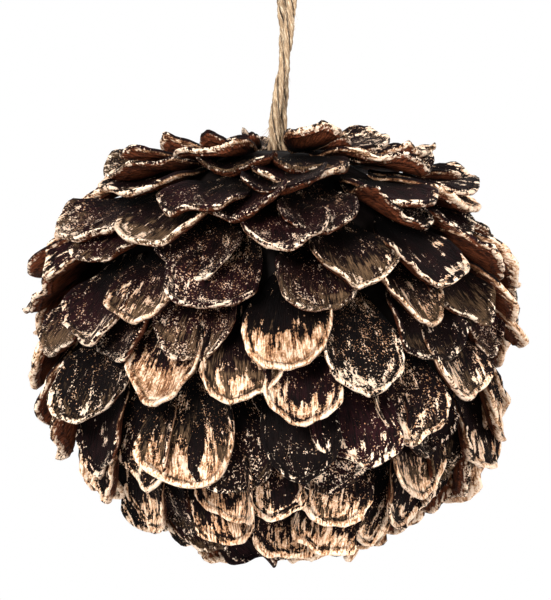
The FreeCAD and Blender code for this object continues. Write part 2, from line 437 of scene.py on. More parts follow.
    def build(self) -> bpy.types.Material:
        """Makes the material. Matt bark and half-metal paint give the dull gleam of brushed gold.

        Returns:
            The material for every ring of scales.
        """
        material, tree = new_material("gilded_pine_scale")
        at = self.read(tree)
        self.add_places(tree, at)
        self.add_paint(tree, at)
        colour = self.colour(tree, at)
        at["polish"] = mask(tree, at, {"gold": 1.0}, 0.0, (0.0, 1.0))
        height = weigh(tree, at, {"fibre": 1.0, "stroke": 0.8, "grit": 0.5, "gold": 0.22}, 0.0)
        surface = {
            "Base Color": colour,
            "Metallic": weigh(tree, at, {"gold": 0.45, "bronzed": 0.2}, 0.0),
            "Roughness": weigh(tree, at, {"polish": -0.2}, 0.58),
            "Specular IOR Level": 0.05,
        }
        close_material(tree, height, 0.9, 0.8, surface)
        return material


@dataclass(frozen=True)
class PaintedFoamFinish:
    """Foam painted almost black, so that the gaps between the scales read as deep shadow."""

    paint_dark: str = "#060403"
    paint_worn: str = "#120a08"
    beads_per_metre: float = 330.0
    wear_per_metre: float = 90.0

    def build(self) -> bpy.types.Material:
        """Makes the material, with the foam's beads of about 3 mm as dimples.

        Returns:
            The material for the foam ball.
        """
        material, tree = new_material("painted_foam")
        place = add_node(tree, "ShaderNodeTexCoord").outputs["Object"]
        beads = add_node(tree, "ShaderNodeTexVoronoi", {"Vector": place, "Scale": self.beads_per_metre})
        wear = {"Vector": place, "Scale": self.wear_per_metre, "Detail": 4.0}
        at = {"wear": add_node(tree, "ShaderNodeTexNoise", wear).outputs["Fac"]}
        colour = ramp(tree, at, {"wear": 1.0}, 0.0, [(0.35, self.paint_dark), (0.7, self.paint_worn)])
        surface = {"Base Color": colour, "Roughness": 0.8, "Specular IOR Level": 0.1}
        close_material(tree, beads.outputs["Distance"], 0.6, 0.5, surface)
        return material


@dataclass(frozen=True)
class GlueFinish:
    """Set hot glue, amber and slightly waxy, round the feet of the twine."""

    pale: str = "#a9855a"
    deep: str = "#6b4a2a"
    clouds_per_metre: float = 330.0

    def build(self) -> bpy.types.Material:
        """Makes the material, clouded over about 3 mm.

        Returns:
            The material for the plug of glue.
        """
        material, tree = new_material("set_glue")
        place = add_node(tree, "ShaderNodeTexCoord").outputs["Object"]
        clouds = {"Vector": place, "Scale": self.clouds_per_metre, "Detail": 3.0}
        at = {"cloud": add_node(tree, "ShaderNodeTexNoise", clouds).outputs["Fac"]}
        colour = ramp(tree, at, {"cloud": 1.0}, 0.0, [(0.3, self.deep), (0.7, self.pale)])
        close_material(tree, at["cloud"], 0.4, 0.3, {"Base Color": colour, "Roughness": 0.32})
        return material


@dataclass(frozen=True)
class JuteFinish:
    """Natural jute: straw to brown fibres that run along each strand."""

    gap: str = "#2c1d10"
    shade: str = "#5a4129"
    straw: str = "#a98a68"
    light: str = "#e2cfb2"
    # Fibres, 0.25 mm wide, run along each strand.
    fibre: Pattern = Pattern(4.0, 0.45, 4.0, 0.7)

    def build(self) -> bpy.types.Material:
        """Makes the material from the twine's own attributes, along its strands and into its gaps.

        Returns:
            The material for the twine and its fuzz.
        """
        material, tree = new_material("jute_fibre")
        along = add_node(tree, "ShaderNodeAttribute", attribute_name="strand").outputs["Vector"]
        gap = add_node(tree, "ShaderNodeAttribute", attribute_name="gap").outputs["Fac"]
        at = {"fibre": self.fibre.build(tree, along), "gap": gap}
        stops = [(0.34, self.shade), (0.5, self.straw), (0.66, self.light)]
        hairs = ramp(tree, at, {"fibre": 1.0}, 0.0, stops)
        # Between the strands the twine is in shade and holds dust, which draws its dark winding lines.
        deep = mask(tree, at, {"fibre": -0.5, "gap": 1.0}, 0.0, (0.05, 0.4))
        inputs = {0: deep, 6: hairs, 7: linear(self.gap)}
        colour = add_node(tree, "ShaderNodeMix", inputs, data_type="RGBA").outputs[2]
        close_material(tree, at["fibre"], 1.0, 0.5, {"Base Color": colour, "Roughness": 0.85})
        return material


@dataclass(frozen=True)
class Ball:
    """Where the foam ball is and how large."""

    radius: float = 50.0
    hang_height: float = 75.0
    seat_clearance: float = 0.05

    @property
    def centre(self) -> np.ndarray:
        """The ball's centre below the hanging point.

        Returns:
            Its place in millimetres.
        """
        return np.array([0.0, 0.0, -self.hang_height - self.radius])


@dataclass(frozen=True)
class ScaleForm:
    """The size and curl of one kind of scale, lengths in millimetres.

    The outline is a wedge from a narrow root to the widest place, then a blunt rounded tip. The face is
    dished across, its tip bends outwards and its rim is a thick rolled lip.
    """

    length: float
    width: float
    root_width: float = 8.0
    widest_share: float = 0.6
    dish_depth: float = 3.4
    thickness: float = 1.3
    rim_thickness: float = 1.5
    tip_bend: float = 1.3
    rim_curl: float = 0.8


@dataclass(frozen=True)
class Ring:
    """One ring of scales round the ball, as its solids stand."""

    node: str
    number: int
    count: int
    seat_angle: float
    lift: float
    form: ScaleForm
    front_drop: float = 0.0

    def azimuths(self) -> np.ndarray:
        """Angles round the ball in degrees, from the front, the odd rings with a scale right in front.

        Returns:
            One angle for each scale.
        """
        return 360 * (np.arange(self.count) + (self.number + 1) % 2 / 2) / self.count


@dataclass(frozen=True)
class Setting:
    """How one scale is set apart from its even place, and how much gold it took."""

    turn: float = 0.0
    slide: float = 0.0
    width: float = 1.0
    length: float = 0.98
    lift: float = 0.0
    swing: float = 0.0
    bend: float = 1.0
    gilding: float = 0.5
    tone: float = 0.3
    wash: float | None = None
    dust: float | None = None


# The scales that face the front, by ring and place in the ring: degrees of turn, millimetres of slide
# down the ball, width and length against the kind's own, degrees of lift and swing, and their paint.
FRONT_SCALES: dict[tuple[int, int], Setting] = {
    (0, 0): Setting(4, 5, 1.3, length=1, lift=7, gilding=0.4, tone=0.6),
    (0, 1): Setting(lift=-20, gilding=0),
    (0, 2): Setting(width=0.8, lift=-16),
    (0, 3): Setting(-8, 0, 0.75, length=1, lift=-17, gilding=0.1),
    (0, 4): Setting(lift=-27, gilding=0),
    (0, 5): Setting(-20, length=0.6, lift=-14, gilding=0),
    (1, 0): Setting(11, 12, 1.15, length=0.88, lift=-13, bend=0.4, tone=0.7, wash=0.3),
    (1, 1): Setting(12, length=1.08, lift=-15, tone=0.6),
    (1, 2): Setting(width=0.9, lift=-4, gilding=0.3),
    (1, 3): Setting(lift=-9, gilding=0.2),
    (1, 4): Setting(6, 0, 0.9, lift=-7, gilding=0.3),
    (1, 5): Setting(width=0.85, lift=-24, gilding=0.4),
    (1, 6): Setting(15, 2, lift=-10, bend=1.8, gilding=0.4, tone=0.7),
    (2, 0): Setting(0, 1, length=0.55, lift=-14, gilding=0),
    (2, 1): Setting(16, lift=-3, gilding=0.2),
    (2, 2): Setting(lift=4, gilding=0.4),
    (2, 7): Setting(lift=-1, gilding=0.2, tone=1),
    (2, 8): Setting(-12, 0, 1.25, length=1.2, lift=-4, gilding=0.15),
    (2, 9): Setting(0, 1, length=0.55, lift=-14, gilding=0),
    (3, 0): Setting(length=0.8, lift=-6, gilding=0),
    (3, 1): Setting(13, 5, 1.1, lift=-1, gilding=0.3, tone=0.7),
    (3, 2): Setting(10, 3, 1.1, lift=-2, gilding=0.6),
    (3, 3): Setting(length=1.04, lift=2, gilding=0.3),
    (3, 11): Setting(12, 7, swing=18, gilding=0.2, tone=0.9),
    (4, 11): Setting(3.9, 3.2, 1.1, gilding=0.25, tone=1),
    (4, 12): Setting(2.6, 3.8, 1.15, gilding=0.35, wash=1.1, dust=0.2),
    (5, 0): Setting(-1.3, -5, gilding=0.3, tone=0.8, wash=0.2, dust=0.6),
    (5, 1): Setting(-5, 2.8, 1.04, gilding=0.35, tone=0.2, wash=1, dust=0.5),
    (5, 2): Setting(-1.5, 2.5, 1.1, gilding=0.35),
    (5, 4): Setting(-6.6, 3, 1.1, gilding=0.7),
    (6, 1): Setting(6.4, 1.1, 1.02, gilding=0.6),
    (6, 12): Setting(-6.4, -2.1, 1.1, gilding=0.3, tone=0.9),
    (6, 13): Setting(4.2, 4.7, 1.1, gilding=0.3, tone=0.9, wash=0.6, dust=0.6),
    (6, 14): Setting(0, -0.2, 1.12, gilding=0.55, tone=0.8, wash=1, dust=0.6),
    (6, 15): Setting(-0.3, -1.5, 1.02, gilding=0.15, tone=1, wash=0.2, dust=1),
    (7, 0): Setting(5.3, -1.7, 1.05, gilding=1, tone=0),
    (7, 1): Setting(0.5, 5, 1.05, gilding=0.35, tone=0, wash=0.1, dust=1),
    (7, 4): Setting(1.2, -5, 1.1, gilding=0.7),
    (7, 13): Setting(-1.1, 3, 1.1),
    (8, 0): Setting(-2.8, 0.4, 0.96, gilding=0.65, tone=0.6, dust=0.7),
    (8, 1): Setting(-0.3, 4.9, 0.97),
    (8, 2): Setting(-3.2, -5, 1.12),
    (8, 3): Setting(-1.5, 5, 1.1, gilding=0.75, dust=1),
    (8, 13): Setting(6.8, 1.1, 1.04, gilding=0.3, tone=0),
    (8, 14): Setting(6.8, -3.9, gilding=1.1, tone=0.7, wash=0.5),
    (8, 15): Setting(3, -5, 0.96, gilding=0.6, wash=1, dust=0.2),
    (9, 0): Setting(4.4, 3.5, 0.93, gilding=0.1, tone=0, wash=0, dust=0.3),
    (9, 1): Setting(-7.4, 0.2, 1.03, gilding=0.35, tone=1, wash=0, dust=0.6),
    (9, 3): Setting(-1.4, 2.6, 1.1),
    (9, 11): Setting(7.4, -0.2, 1.1, gilding=0.4),
    (9, 13): Setting(-5.7, 2.4, 1.1, gilding=0.25),
    (9, 14): Setting(2.3, 5, 1.18, gilding=0.85, tone=0, wash=1.1, dust=0.9),
    (10, 1): Setting(7.8, -2.6, 1.09, gilding=0.6),
    (10, 11): Setting(5.7, -1.3, 1.03),
    (10, 12): Setting(1.7, -5, 0.93),
    (11, 0): Setting(-1.1, -1.7, gilding=0.6),
    (11, 1): Setting(-2.1, 1.1, 1.14, gilding=0.7),
    (11, 2): Setting(1.3, 2.5, 1.08),
    (11, 12): Setting(-2.3, 3, 1.15, gilding=0.7),
    (11, 13): Setting(5.6, 0.2, 1.07, gilding=0.8),
    (12, 0): Setting(6.6, 1.7, 0.95, gilding=0.7),
    (12, 1): Setting(-8, -1.8, 0.95, gilding=0.6),
    (12, 10): Setting(-5, -2.4, 0.95, gilding=0.7),
    (13, 0): Setting(4.7, -5, 0.95, gilding=0.7),
}

# Scales at the front that stay under their neighbours, so that fewer and larger ones are seen.
TUCKED_SCALES: frozenset[tuple[int, int]] = frozenset(
    [(4, 0), (4, 1), (4, 2), (4, 13), (5, 13), (5, 14), (6, 0), (6, 2), (7, 2), (7, 3), (7, 14)]
    + [(7, 15), (7, 16), (9, 2), (10, 0), (10, 2), (10, 13), (12, 9), (13, 1), (13, 7), (14, 0), (14, 3)]
)
TUCKED = {"length": 0.86, "lift": -3.5, "gilding": 0.1}

# Rings seated further down than this many degrees hang more loosely, and took more gold.
LOOSE_BELOW = 110.0


@dataclass
class Traits:
    """What makes each scale of a ring its own, one number a scale, as columns of shape (count, 1)."""

    turn: np.ndarray
    slide: np.ndarray
    width: np.ndarray
    length: np.ndarray
    lift: np.ndarray
    swing: np.ndarray
    bend: np.ndarray
    gilding: np.ndarray
    tone: np.ndarray
    wash: np.ndarray
    dust: np.ndarray

    @classmethod
    def draw(cls, ring: Ring, chance: Random) -> Traits:
        """Draws every scale's differences, then sets those of the scales at the front as they were seen.

        Args:
            ring: The ring.
            chance: The source of the small differences.

        Returns:
            The ring's traits.
        """
        lowness = min(1.0, ring.seat_angle / LOOSE_BELOW)
        ranges = {
            "turn": (-3.0, 3.0),
            "slide": (-2.0, 2.0),
            "width": (0.96, 1.14),
            "length": (0.92, 1.02),
            "lift": (-4.5, -0.5),
            "swing": (-8.0, 8.0),
            "bend": (0.0, 1.4),
            "gilding": (0.3 * lowness, 0.4 + 0.6 * lowness),
            "tone": (0.0, 1.0),
            "wash": (0.0, 1.0),
            "dust": (0.0, 1.0),
        }
        if ring.seat_angle > LOOSE_BELOW:
            ranges |= {"length": (0.8, 1.02), "swing": (-12.0, 12.0), "lift": (-6.0, -1.0)}
        columns = {name: chance.uniform(low, high, (ring.count, 1)) for name, (low, high) in ranges.items()}
        for (number, index), setting in FRONT_SCALES.items():
            if number != ring.number:
                continue
            for trait in fields(setting):
                value = getattr(setting, trait.name)
                if trait.name == "swing":
                    columns["swing"][index] = 0.8 * columns["swing"][index] + value
                elif value is not None:
                    columns[trait.name][index] = value
        for number, index in TUCKED_SCALES:
            if number == ring.number:
                for name, value in TUCKED.items():
                    columns[name][index] = value
        return cls(**columns)


@dataclass
class ScaleRings:
    """All rings of scales: builds each as one mesh and dresses it."""

    ball: Ball
    rings: tuple[Ring, ...]
    finish: bpy.types.Material
    seed: int = 41
    side_points: int = 12
    tip_points: int = 23
    lift_unevenness: float = 1.2
    roll_unevenness: float = 2.0
    # Rings seated nearer the top than this many degrees have deeper folds.
    folded_above: float = 36.0
    # How far out the bands of points lie, closer together where the lip rolls over and its crease runs.
    bands: tuple[float, ...] = (
        *(0.18, 0.36, 0.52, 0.64, 0.73, 0.79, 0.825),
        *(0.845, 0.86, 0.875, 0.9, 0.93, 0.96, 0.985),
    )
    # Waves round the outline's tip: how many to a turn, and the most they take of its radius.
    outline_waves: tuple[tuple[int, float], ...] = ((3, 0.08), (6, 0.05), (13, 0.02))
    # Waves of the curled rim: how many to a turn, and the least and most they take of its curl.
    rim_waves: tuple[tuple[int, float, float], ...] = ((4, 0.2, 0.6), (9, 0.1, 0.4), (15, 0.0, 0.25))
    crease_at: float = 0.86
    crease_width: float = 0.022

    def outline(
        self, ring: Ring, traits: Traits, chance: Random
    ) -> tuple[np.ndarray, np.ndarray, np.ndarray]:
        """The edge of every scale of a ring, seen square on.

        In words: from the root's corner a side runs out to the widest place, slightly bowed. The tip is
        half an ellipse whose sines and cosines are raised to powers, below one where it is blunt and above
        one where it comes to a beak, and its radius waves by a few hundredths. The other side runs back.

        Args:
            ring: The ring.
            traits: Each scale's differences.
            chance: The source of the smaller differences between outlines.

        Returns:
            Across and along positions of shape (count, points), and the half width of each scale.
        """
        form = ring.form
        each = Draws(chance, (ring.count, 1))
        length = form.length * traits.length
        half = form.width / 2 * traits.width
        widest = form.widest_share * length * each(0.9, 1.1)
        blunt_across = each(0.85, 1.45)
        blunt_along = each(0.88, 1.1)
        root = form.root_width / 2

        step = np.linspace(0, 1, self.side_points, endpoint=False)[None, :]
        side_x = root + (half - root) * np.sin(step * np.pi / 2) ** 0.9
        side_y = widest * step
        turn = np.linspace(0, np.pi, self.tip_points)[None, :]
        eased = turn + each(-0.5, 0.5) * np.sin(turn) ** 2
        wave = 1.0
        for count, most in self.outline_waves:
            wave = wave + each(0.0, most) * np.sin(count * turn + each(0, ANY_PHASE))
        tip_x = half * np.sign(np.cos(turn)) * np.abs(np.cos(turn)) ** blunt_across * wave
        tip_y = widest + (length - widest) * np.abs(np.sin(eased)) ** blunt_along * wave
        across = np.concatenate([side_x, tip_x, -side_x[:, ::-1]], axis=1)
        along = np.concatenate([side_y, tip_y, side_y[:, ::-1]], axis=1)
        return across + each(-0.18, 0.18) * along, along, half

    def build_ring(self, ring: Ring) -> bpy.types.Object:
        """Builds one ring as one mesh.

        In words: each scale is swept from the middle of its outer face out to the rim and back under to
        the middle of its inner face. A point is the middle plus a share of the way to the outline. Its
        height is the dish, which grows with a power of the distance across, plus the tip's outward bend,
        which grows with the square of the way past the middle, plus the rim's waving curl, a twist, a low
        swell and folds that run along the scale, less the crease, plus or minus half the thickness.

        Args:
            ring: The ring.

        Returns:
            The ring's object.
        """
        form, count = ring.form, ring.count
        chance = np.random.default_rng(self.seed + ring.number)
        each = Draws(chance, (count, 1, 1))
        traits = Traits.draw(ring, chance)
        across, along, half = self.outline(ring, traits, chance)
        edge_points = across.shape[1]
        length = along.max(axis=1, keepdims=True)
        middle_y = 0.56 * length

        share = np.array(self.bands)
        out = np.concatenate([share, [1.0, 1.01, 1.0], share[::-1]])[None, :, None]
        side = np.concatenate([np.ones(len(share)), [0.62, 0.0, -0.62], -np.ones(len(share))])[None, :, None]
        x = across[:, None, :] * out
        y = middle_y[:, :, None] + (along - middle_y)[:, None, :] * out
        tip = y / length[:, :, None]
        spread = x / half[:, :, None]
        angle = np.linspace(0, 2 * np.pi, edge_points, endpoint=False)[None, None, :]
        wave = 1.0
        for number, least, most in self.rim_waves:
            wave = wave + each(least, most) * np.sin(number * angle + each(0, ANY_PHASE))
        past_middle = np.clip((tip - 0.5) / 0.5, 0, None)
        middle = form.dish_depth * each(0.7, 1.15) * np.abs(spread) ** each(1.8, 2.6)
        middle = middle * (0.3 + 0.7 * smooth(tip, 0.0, 0.6))
        middle = middle + form.tip_bend * traits.bend[:, :, None] * past_middle**2
        curl = form.rim_curl * each(0.5, 1.5) * wave
        middle = middle + curl * smooth(out, 0.72, 1.0) * smooth(tip, 0.2, 0.8)
        crease = np.exp(-(((out - self.crease_at) / self.crease_width) ** 2))
        middle = middle - each(0.2, 0.5) * crease * smooth(tip, 0.3, 0.8)
        middle = middle + each(-3.2, 3.2) * spread * np.clip(tip, 0, None) ** 1.5
        middle = middle + each(0.1, 0.5) * np.sin(x * 0.5 + y * 0.33 + each(0, ANY_PHASE))
        fold = each(0.5, 1.5) if ring.seat_angle < self.folded_above else each(0.2, 0.9)
        middle = middle + fold * np.sin(4 * spread + each(0, ANY_PHASE)) * smooth(tip, 0.35, 1.0)
        thicker = form.rim_thickness * each(0.8, 1.25) - form.thickness
        thick = form.thickness + thicker * smooth(out, 0.7, 0.95) * smooth(tip, 0.2, 0.7)
        z = form.thickness / 2 + middle + side * thick / 2
        poles_y = np.repeat(middle_y, 2, axis=1)
        poles_z = middle[:, 0, :].mean(axis=1, keepdims=True) + np.array([[1.0, 0.0]]) * form.thickness

        def with_poles(grid: np.ndarray, poles: np.ndarray) -> np.ndarray:
            """Puts a grid's values in a row for each scale, then those of its two middles.

            Args:
                grid: Values that go with the grid of points.
                poles: The values at the outer and the inner middle.

            Returns:
                The values, of shape (count, points).
            """
            return np.concatenate([np.broadcast_to(grid, x.shape).reshape(count, -1), poles], axis=1)

        poles_x = np.zeros((count, 2))
        local = np.stack([with_poles(x, poles_x), with_poles(y, poles_y), with_poles(z, poles_z)], axis=2)
        world = self.place(ring, traits, local, chance)
        to_rim = np.hypot(across, along - middle_y)[:, None, :]
        pole_faces = np.tile([Face.OUTER.value, Face.INNER.value], (count, 1))
        fan = x / np.maximum(0.35, smooth(tip, -0.4, 0.8))
        shift = (np.arange(count) * 13.7 + ring.number * 91.3)[:, None]
        values = {
            "rim": with_poles((1 - np.minimum(out, 1.0)) * to_rim, np.full((count, 2), 10.0)),
            "face": with_poles((side >= 0).astype(float), pole_faces),
            "tip": with_poles(tip, poles_y / length),
            "grain": np.stack(
                [with_poles(fan, poles_x), with_poles(y, poles_y), shift + local[:, :, 2]], axis=2
            ),
        }
        for name in ("gilding", "tone", "wash", "dust"):
            values[name] = np.repeat(getattr(traits, name), local.shape[1], axis=1)
        name = ring.node.replace("scale_row", "ring").replace("_scales", "_ring")
        faces = self.faces(count, out.shape[1], edge_points)
        piece = mesh_object(name, world, faces, self.finish, values)
        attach(piece, "root")
        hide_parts(ring.node)
        return piece

    def place(self, ring: Ring, traits: Traits, local: np.ndarray, chance: Random) -> np.ndarray:
        """Stands every scale of a ring on the ball, as its solid stands, with its own differences.

        Args:
            ring: The ring.
            traits: Each scale's differences.
            local: Points of shape (count, points, 3): across, along and out from the face.
            chance: The source of the rolls.

        Returns:
            Points of the same shape in the object's frame.
        """
        index = np.arange(ring.count)
        even = ring.azimuths()
        azimuth = np.radians(even + traits.turn[:, 0])
        seat = np.radians(ring.seat_angle) + traits.slide[:, 0] / (self.ball.radius + ring.form.length / 4)
        drop = ring.front_drop * (1 + np.cos(np.radians(even))) / 2
        lift = ring.lift - drop + self.lift_unevenness * np.sin(2.4 * index + 1.7 * ring.number)
        lift = np.radians(lift + traits.lift[:, 0])
        roll = self.roll_unevenness * np.sin(1.9 * index + 2.6 * ring.number)
        roll = np.radians(roll + chance.uniform(-6.0, 6.0, ring.count))
        swing = np.radians(traits.swing[:, 0])

        up = np.array([0.0, 0.0, 1.0])
        outward = np.stack([np.sin(azimuth), -np.cos(azimuth), np.zeros(ring.count)], axis=1)
        spoke = outward * np.sin(seat)[:, None] + up * np.cos(seat)[:, None]
        along = outward * np.cos(seat - lift)[:, None] - up * np.sin(seat - lift)[:, None]
        normal = outward * np.sin(seat - lift)[:, None] + up * np.cos(seat - lift)[:, None]
        across = np.cross(along, normal)
        swung = along * np.cos(swing)[:, None] + across * np.sin(swing)[:, None]
        across = np.cross(swung, normal)
        rolled = across * np.cos(roll)[:, None] + normal * np.sin(roll)[:, None]
        normal = np.cross(rolled, swung)
        foot = self.ball.centre + spoke * (self.ball.radius + self.ball.seat_clearance)
        axes = np.stack([rolled, swung, normal], axis=1)
        return foot[:, None, :] + np.einsum("npk,nkc->npc", local, axes)

    def faces(self, count: int, bands: int, edge_points: int) -> list[tuple[int, ...]]:
        """The quads between neighbouring bands and the triangles that close the two middles.

        Args:
            count: How many scales the mesh has.
            bands: How many bands run round each scale.
            edge_points: How many points a band has.

        Returns:
            Vertex numbers of every face, facing outwards.
        """
        band, point = np.meshgrid(np.arange(bands - 1) * edge_points, np.arange(edge_points), indexing="ij")
        after = (point + 1) % edge_points
        corners = [band + point, band + edge_points + point, band + edge_points + after, band + after]
        quads = np.stack(corners, axis=-1).reshape(-1, 4)
        here = np.arange(edge_points)
        after = (here + 1) % edge_points
        last = (bands - 1) * edge_points
        top = np.stack([np.full(edge_points, bands * edge_points), here, after], axis=1)
        bottom = np.stack([np.full(edge_points, bands * edge_points + 1), last + after, last + here], axis=1)
        starts = (np.arange(count) * (bands * edge_points + 2))[:, None, None]
        all_quads = (quads[None] + starts).reshape(-1, 4).tolist()
        all_caps = (np.concatenate([top, bottom])[None] + starts).reshape(-1, 3).tolist()
        return all_quads + all_caps

    def build(self) -> None:
        """Builds every ring."""
        for ring in self.rings:
            piece = self.build_ring(ring)
            LOG.info("%s: %d scales, %d faces", piece.name, ring.count, len(piece.data.polygons))


@dataclass
class Twine:
    """One length of jute twine: two legs up out of the plug and a loop over the hook."""

    finish: bpy.types.Material
    diameter: float = 3.0
    plies: int = 3
    lay_length: float = 26.0
    ply_points: int = 20
    hairs: int = 260
    foot_hairs: int = 90
    hair_points: int = 6
    seed: int = 7
    route: tuple[tuple[float, float, float], ...] = (
        *((-0.4, -1.4, -75.5), (-0.4, -1.4, -66.0), (2.2, -1.75, -53.5)),
        *((3.9, -1.5, -41.0), (4.5, -1.3, -31.5), (7.9, -0.8, -23.2)),
        *((12.0, -0.4, -14.6), (12.2, -0.1, -5.2), (5.7, 0.1, 1.5)),
        *((-3.7, 0.2, 1.55), (-10.1, 0.2, -5.2), (-9.5, 0.4, -14.4)),
        *((-4.6, 0.9, -22.6), (1.3, 1.25, -30.8), (2.5, 1.6, -41.0)),
        *((2.5, 1.75, -53.5), (1.7, 1.4, -66.0), (1.7, 1.4, -75.5)),
    )

    def line(self) -> np.ndarray:
        """The twine's smooth centre line, read from a NURBS spline through its route.

        Returns:
            Points in metres, in order.
        """
        curve = bpy.data.curves.new("twine_route", "CURVE")
        curve.dimensions = "3D"
        curve.resolution_u = 24
        spline = curve.splines.new("NURBS")
        spline.points.add(len(self.route) - 1)
        for point, place in zip(spline.points, self.route):
            point.co = (*(Vector(place) * MM), 1.0)
        spline.order_u = 3
        spline.use_endpoint_u = True
        carrier = bpy.data.objects.new("twine_route", curve)
        bpy.context.scene.collection.objects.link(carrier)
        mesh = bpy.data.meshes.new_from_object(carrier)
        points = np.empty(len(mesh.vertices) * 3)
        mesh.vertices.foreach_get("co", points)
        bpy.data.objects.remove(carrier)
        return points.reshape(-1, 3)

    def build(self) -> bpy.types.Object:
        """Builds the plies as tubes that wind round the centre line.

        In words: each ply's centre lies a fixed distance from the line, turned by the way gone divided by
        the lay length. Round it stands a circle of points whose radius swells and shrinks along the way
        and is ribbed by its fibres.

        Returns:
            The twine's object.
        """
        path = self.line()
        heart = path / MM
        step = np.linalg.norm(np.diff(path, axis=0), axis=1)
        way = np.concatenate([[0.0], np.cumsum(step)]) / MM
        tangent = np.gradient(path, axis=0)
        tangent /= np.linalg.norm(tangent, axis=1, keepdims=True)
        side = np.cross(tangent, np.array([0.0, 1.0, 0.0]))
        side /= np.linalg.norm(side, axis=1, keepdims=True)
        lift = np.cross(side, tangent)

        ply_radius = 0.27 * self.diameter
        offset = self.diameter / 2 - ply_radius
        around = np.linspace(0, 2 * np.pi, self.ply_points, endpoint=False)[None, :]
        across_fibres = 1 + 0.05 * np.sin(around * 5 + way[:, None] * 0.9)
        ribs = across_fibres + 0.04 * np.sin(around * 8 - way[:, None] * 1.7)
        grid = ribs.shape
        rings = np.arange(grid[0] * grid[1]).reshape(grid)
        after = np.roll(rings, -1, axis=1)
        quads = np.stack([rings[:-1], after[:-1], after[1:], rings[1:]], axis=-1).reshape(-1, 4)
        points, faces, strands = [], [], []
        for ply in range(self.plies):
            turn = 2 * np.pi * (way / self.lay_length + ply / self.plies)
            centre = heart + offset * (np.cos(turn)[:, None] * side + np.sin(turn)[:, None] * lift)
            angle = (around + turn[:, None])[..., None]
            swell = 1 + 0.09 * np.sin(way * 1.3 + ply * 2.1) + 0.06 * np.sin(way * 3.1 + ply * 4.0)
            radius = ply_radius * (swell[:, None] * ribs)[..., None]
            spokes = np.cos(angle) * side[:, None, :] + np.sin(angle) * lift[:, None, :]
            points.append(centre[:, None, :] + radius * spokes)
            measure = (around * ply_radius, way[:, None], np.array([[ply * 7.3]]))
            strands.append(np.stack([np.broadcast_to(part, grid) for part in measure], axis=-1))
            first = ply * rings.size
            faces += (first + quads).tolist()
            faces += [(first + rings[0, ::-1]).tolist(), (first + rings[-1]).tolist()]
        gap = np.broadcast_to((1 - np.cos(around)) / 2, (self.plies, *grid))
        values = {"strand": np.stack(strands), "gap": gap}
        twine = mesh_object("jute_twine", np.stack(points), faces, self.finish, values)
        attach(twine, "root")
        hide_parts("hanging_twine")
        LOG.info("jute_twine: %.1f mm long, %d faces", way[-1], len(faces))
        self.fuzz(heart)
        return twine

    def fuzz(self, path: np.ndarray) -> bpy.types.Object:
        """Builds the loose hairs along the twine and the frayed ones round its foot.

        In words: a hair is a three-sided tapering tube on a bent line. It starts near the twine's skin and
        its line leaves along the twine, bends away by the square of the way gone and ends in a point.

        Args:
            path: The twine's centre line in millimetres.

        Returns:
            The object that holds all hairs.
        """
        chance = np.random.default_rng(self.seed)
        tangent = np.gradient(path, axis=0)
        tangent /= np.linalg.norm(tangent, axis=1, keepdims=True)
        total = self.hairs + self.foot_hairs
        at_foot = np.arange(total) >= self.hairs
        first_leg = chance.random(total) < 0.5
        near_start = chance.integers(2, 12, total)
        ends = np.where(first_leg, near_start, len(path) - chance.integers(3, 13, total))
        where = np.where(at_foot, ends, chance.integers(4, len(path) - 4, total))
        heading = tangent[where]
        down = heading * np.where(path[where][:, 2:3] < -40, np.sign(-heading[:, 2:3]), 1.0)
        ahead = np.where(at_foot[:, None], down, heading * chance.choice([-1.0, 1.0], (total, 1)))
        out = chance.normal(size=(total, 3))
        out -= (out * ahead).sum(axis=1, keepdims=True) * ahead
        out /= np.linalg.norm(out, axis=1, keepdims=True)
        each = Draws(chance, (total, 1, 1))
        frayed = at_foot[:, None, None]
        length = np.where(frayed, each(1.5, 3.6), each(1.2, 4.0))
        bend = np.where(frayed, each(0.8, 2.8), each(0.2, 1.3))
        step = np.linspace(0, 1, self.hair_points)[None, :, None]
        start = path[where] + out * self.diameter * 0.44
        line = start[:, None, :] + ahead[:, None, :] * length * step + out[:, None, :] * bend * step**2
        thick = np.where(frayed, 0.13, 0.065) * (1.05 - step)
        beside = np.cross(ahead, out)
        turn = np.array([0.0, 2.1, 4.2])[None, :, None]
        spokes = np.cos(turn) * out[:, None, :] + np.sin(turn) * beside[:, None, :]
        points = line[:, :, None, :] + thick[..., None] * spokes[:, None, :, :]

        rings = np.arange(3 * self.hair_points).reshape(-1, 3)
        after = np.roll(rings, -1, axis=1)
        quads = np.stack([rings[:-1], rings[1:], after[1:], after[:-1]], axis=-1).reshape(-1, 4)
        caps = np.array([rings[0], rings[-1, ::-1]])
        starts = (np.arange(total) * rings.size)[:, None, None]
        faces = (quads[None] + starts).reshape(-1, 4).tolist()
        faces += (caps[None] + starts).reshape(-1, 3).tolist()
        strand = np.broadcast_to((np.arange(total) * 3.7)[:, None, None], (total, rings.size, 3))
        values = {"strand": strand, "gap": np.zeros(total * rings.size)}
        hairs = mesh_object("twine_fuzz", points, faces, self.finish, values, rounded=False)
        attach(hairs, "root")
        return hairs


@dataclass(frozen=True)
class Lamp:
    """A soft square lamp: where it stands and how wide it is, in metres, and its power in watts."""

    name: str
    place: tuple[float, float, float]
    size: float
    power: float


